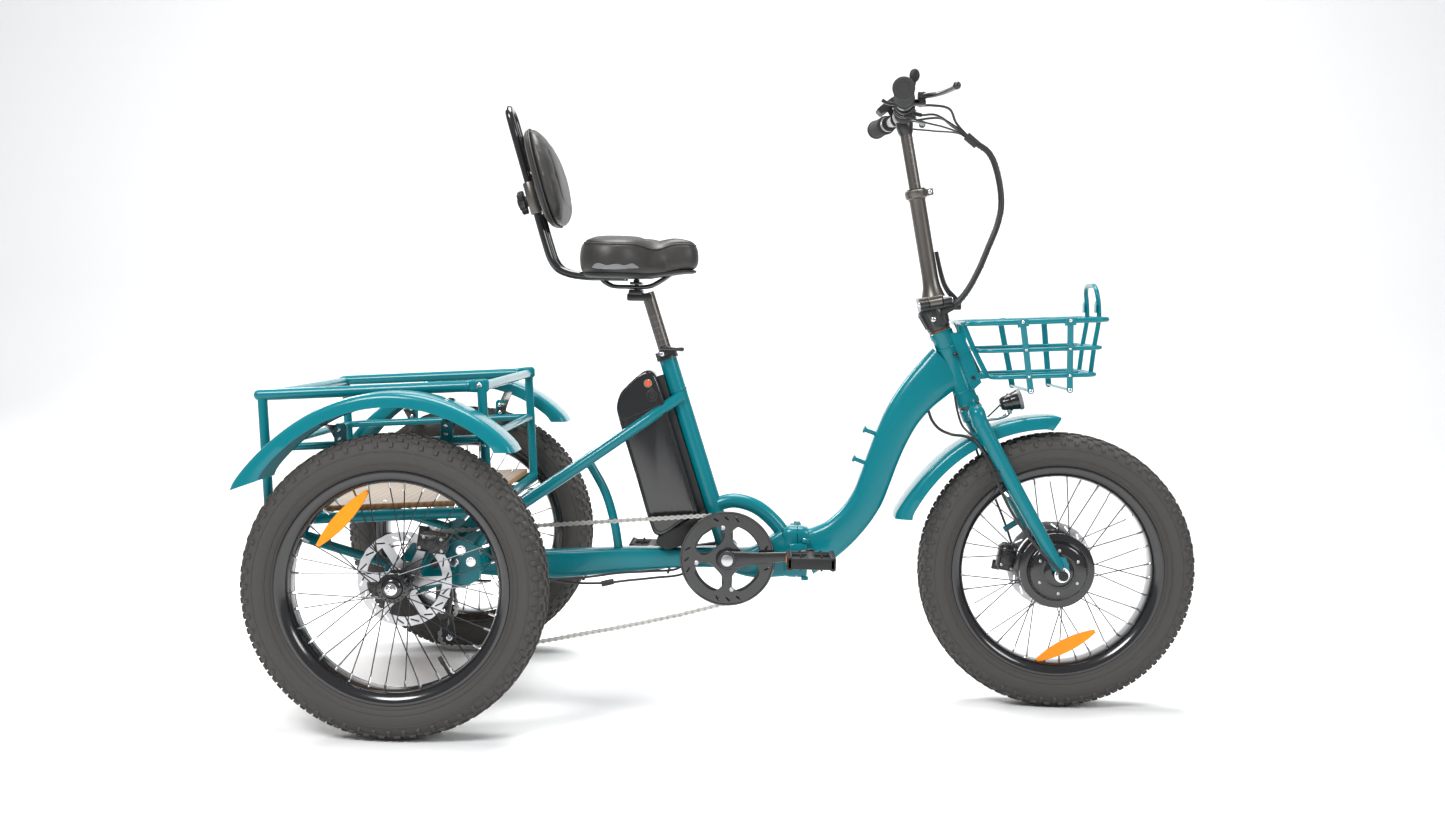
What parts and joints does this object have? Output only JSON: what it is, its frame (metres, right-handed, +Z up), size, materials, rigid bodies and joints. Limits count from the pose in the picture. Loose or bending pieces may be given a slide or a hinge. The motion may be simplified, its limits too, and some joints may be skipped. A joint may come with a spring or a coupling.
{
  "type": "electric folding adult tricycle",
  "caption": "Fat-tyred electric folding tricycle with a low step-through frame, cargo tub between the rear wheels, front basket, backrest saddle and folding stem.",
  "frame": {"origin": "on the ground, in the middle of the overall length and width", "axes": "+X forward, +Y the rider's left, +Z up"},
  "size_m": [1.8041, 0.874, 1.2479],
  "materials": {
    "teal_paint": "glossy teal paint",
    "black_metal": "satin black",
    "steel": "bare steel",
    "tyre": "matt black rubber with a knobbed tread",
    "plywood": "sealed plywood with a brown edge",
    "leatherette": "black leatherette over foam",
    "black_plastic": "moulded black plastic",
    "red_plastic": "red-orange push button"
  },
  "bodies": {
    "rear": {"rear_frame": "teal_paint", "cargo_rack": "teal_paint", "cargo_floor": "plywood", "mudguard_rear_right": "teal_paint", "mudguard_rear_left": "teal_paint", "brake_caliper_rear_right": "black_metal", "brake_caliper_rear_left": "black_metal", "chain": "steel", "battery_dock": "black_plastic", "seat_collar": "black_metal", "derailleur_body": "black_metal"},
    "wheel_rear_right": {"tyre_rear_right": "tyre", "rim_rear_right": "black_metal", "hub_rear_right": "black_metal", "disc_rear_right": "steel"},
    "wheel_rear_left": {"tyre_rear_left": "tyre", "rim_rear_left": "black_metal", "hub_rear_left": "black_metal", "disc_rear_left": "steel"},
    "crank": {"chainring": "black_metal", "crank_spindle": "steel", "crank_arm_right": "black_metal", "crank_arm_left": "black_metal"},
    "pedal_right": {"pedal_right": "black_plastic"},
    "pedal_left": {"pedal_left": "black_plastic"},
    "cassette": {"cassette": "black_metal"},
    "derailleur": {"derailleur_cage": "black_metal"},
    "seat": {"seatpost": "black_metal", "saddle_frame": "black_metal", "saddle_cushion": "leatherette", "backrest_hoop": "black_metal"},
    "seat_lever": {"seat_lever": "black_metal"},
    "backrest": {"backrest_bracket": "black_metal", "backrest_pad": "leatherette"},
    "backrest_knob": {"backrest_knob": "black_plastic"},
    "battery": {"battery_case": "black_plastic"},
    "battery_button": {"battery_button": "red_plastic"},
    "battery_key": {"battery_key": "steel"},
    "front_fold": {"front_frame": "teal_paint", "basket": "teal_paint"},
    "frame_latch": {"frame_latch": "teal_paint"},
    "steering": {"fork": "teal_paint", "front_axle": "steel", "mudguard_front": "teal_paint", "headlight": "black_plastic", "brake_caliper_front": "black_metal", "stem_base": "black_metal"},
    "wheel_front": {"tyre_front": "tyre", "rim_front": "black_metal", "hub_front": "black_metal", "disc_front": "steel"},
    "stem": {"stem_post": "black_metal"},
    "stem_latch": {"stem_latch": "black_metal"},
    "post_lever": {"post_lever": "black_metal"},
    "bars": {"handlebar": "black_metal", "display": "black_plastic"},
    "brake_lever_right": {"brake_lever_right": "black_metal"},
    "brake_lever_left": {"brake_lever_left": "black_metal"},
    "throttle": {"throttle": "black_plastic"},
    "shifter": {"shifter_lever": "black_plastic"}
  },
  "joints": [
    {"name": "wheel_rear_right_spin", "type": "hinge", "parent": "rear", "child": "wheel_rear_right", "pos_m": [-0.624, -0.375, 0.276], "axis": [0, 1, 0], "continuous": true},
    {"name": "wheel_rear_left_spin", "type": "hinge", "parent": "rear", "child": "wheel_rear_left", "pos_m": [-0.624, 0.375, 0.276], "axis": [0, 1, 0], "continuous": true},
    {"name": "crank_spin", "type": "hinge", "parent": "rear", "child": "crank", "pos_m": [-0.035, 0, 0.29], "axis": [0, 1, 0], "continuous": true},
    {"name": "pedal_right_spin", "type": "hinge", "parent": "crank", "child": "pedal_right", "pos_m": [0.12747, -0.145, 0.30307], "axis": [0, 1, 0], "continuous": true},
    {"name": "pedal_left_spin", "type": "hinge", "parent": "crank", "child": "pedal_left", "pos_m": [-0.19747, 0.145, 0.27693], "axis": [0, 1, 0], "continuous": true},
    {"name": "cassette_spin", "type": "hinge", "parent": "rear", "child": "cassette", "pos_m": [-0.624, -0.058, 0.276], "axis": [0, 1, 0], "continuous": true},
    {"name": "derailleur_shift", "type": "slide", "parent": "rear", "child": "derailleur", "axis": [0, -1, 0], "range_m": [0, 0.0046]},
    {"name": "seat_height", "type": "slide", "parent": "rear", "child": "seat", "axis": [-0.3134, 0, 0.9496], "range_m": [-0.08, 0.06]},
    {"name": "seat_lever_swing", "type": "hinge", "parent": "rear", "child": "seat_lever", "pos_m": [-0.17, -0.032, 0.703], "axis": [0.3134, 0, -0.9496], "range_deg": [0, 90]},
    {"name": "backrest_height", "type": "slide", "parent": "seat", "child": "backrest", "axis": [-0.2893, 0, 0.9572], "range_m": [-0.03, 0.04]},
    {"name": "backrest_knob_turn", "type": "hinge", "parent": "backrest", "child": "backrest_knob", "pos_m": [-0.45033, 0, 0.99116], "axis": [0.9572, 0, 0.2893], "range_deg": [0, 360]},
    {"name": "battery_slide", "type": "slide", "parent": "rear", "child": "battery", "axis": [-0.3134, 0, 0.9496], "range_m": [0, 0.06]},
    {"name": "battery_button_press", "type": "slide", "parent": "battery", "child": "battery_button", "axis": [0, 1, 0], "range_m": [0, 0.002]},
    {"name": "battery_key_turn", "type": "hinge", "parent": "battery", "child": "battery_key", "pos_m": [-0.19278, -0.04, 0.6086], "axis": [0, 1, 0], "range_deg": [0, 90]},
    {"name": "frame_fold", "type": "hinge", "parent": "rear", "child": "front_fold", "pos_m": [0.104, 0.036, 0.299], "axis": [0, 0, -1], "range_deg": [-115, 0]},
    {"name": "frame_latch_swing", "type": "hinge", "parent": "front_fold", "child": "frame_latch", "pos_m": [0.118, -0.0365, 0.287], "axis": [0, 0, 1], "range_deg": [0, 110]},
    {"name": "steering_turn", "type": "hinge", "parent": "front_fold", "child": "steering", "pos_m": [0.3795, 0, 0.749], "axis": [-0.3913, 0, 0.9203], "range_deg": [-45, 45]},
    {"name": "wheel_front_spin", "type": "hinge", "parent": "steering", "child": "wheel_front", "pos_m": [0.624, 0, 0.276], "axis": [0, 1, 0], "continuous": true},
    {"name": "stem_fold", "type": "hinge", "parent": "steering", "child": "stem", "pos_m": [0.366, -0.036, 0.806], "axis": [0.9816, 0, 0.1908], "range_deg": [0, 115]},
    {"name": "stem_latch_swing", "type": "hinge", "parent": "steering", "child": "stem_latch", "pos_m": [0.41268, 0, 0.80692], "axis": [0, 1, 0], "range_deg": [0, 70]},
    {"name": "post_lever_swing", "type": "hinge", "parent": "stem", "child": "post_lever", "pos_m": [0.31262, 0.0275, 1.01771], "axis": [-0.1908, 0, 0.9816], "range_deg": [0, 150]},
    {"name": "bar_height", "type": "slide", "parent": "stem", "child": "bars", "axis": [-0.1908, 0, 0.9816], "range_m": [-0.075, 0.03]},
    {"name": "brake_lever_right_pull", "type": "hinge", "parent": "bars", "child": "brake_lever_right", "pos_m": [0.312, -0.18, 1.17871], "axis": [0, 0, -1], "range_deg": [0, 20]},
    {"name": "brake_lever_left_pull", "type": "hinge", "parent": "bars", "child": "brake_lever_left", "pos_m": [0.312, 0.18, 1.17871], "axis": [0, 0, 1], "range_deg": [0, 20]},
    {"name": "throttle_press", "type": "hinge", "parent": "bars", "child": "throttle", "pos_m": [0.2832, -0.148, 1.1778], "axis": [-0.0995, -0.9946, 0.0284], "range_deg": [0, 30]},
    {"name": "shifter_press", "type": "hinge", "parent": "bars", "child": "shifter", "pos_m": [0.2862, -0.118, 1.17694], "axis": [-0.0995, -0.9946, 0.0284], "range_deg": [0, 45]}
  ],
  "couplings": [
    {"joint": "cassette_spin", "follows": "crank_spin", "ratio": 1.7},
    {"joint": "derailleur_shift", "follows": "shifter_press", "m_per_rad": 0.005857}
  ]
}
